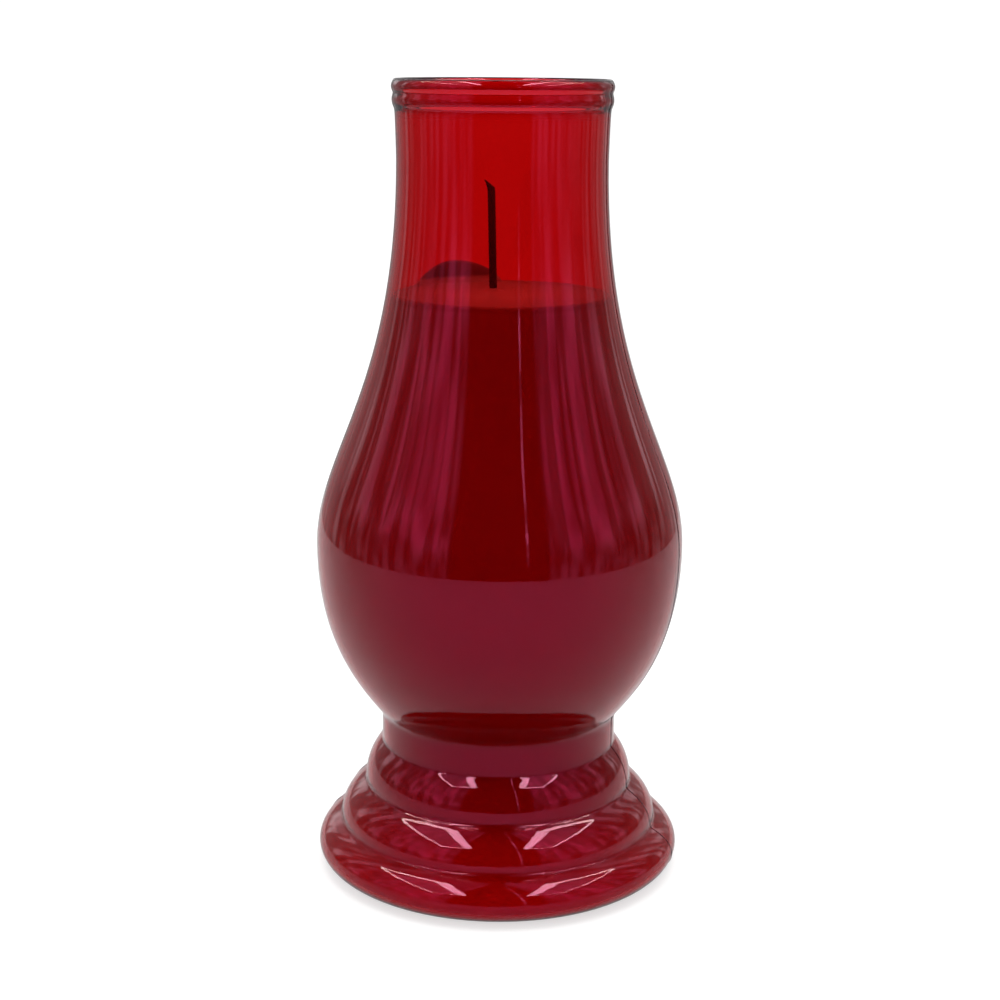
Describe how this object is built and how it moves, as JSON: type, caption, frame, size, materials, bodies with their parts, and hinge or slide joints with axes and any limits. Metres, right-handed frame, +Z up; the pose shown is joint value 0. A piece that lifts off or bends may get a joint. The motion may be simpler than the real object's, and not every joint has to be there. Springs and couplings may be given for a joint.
{
  "type": "sanctuary lamp",
  "caption": "Translucent red hurricane-shaped sanctuary lamp: a moulded shell with a beaded rim and a stepped round foot, filled with poured wax round one upright wick.",
  "frame": {"origin": "centre of the underside, on the plane that the standing ring rests on", "axes": "+Z up along the lamp's axis; -Y faces the front, +X is to the right seen from the front"},
  "size_m": [0.101, 0.101, 0.216],
  "materials": {
    "shell": "clear red, glossy, mould line down each side",
    "wax": "paraffin wax, satin, milky",
    "braid": "charred, waxed cotton braid",
    "core": "twisted paper",
    "holder": "tinned sheet",
    "pad": "adhesive, dull"
  },
  "bodies": {
    "root": {"lamp_shell": "shell", "wax_fill": "wax", "wick_braid": "braid", "wick_core": "core", "wick_holder": "holder", "holder_pad": "pad"}
  },
  "joints": []
}
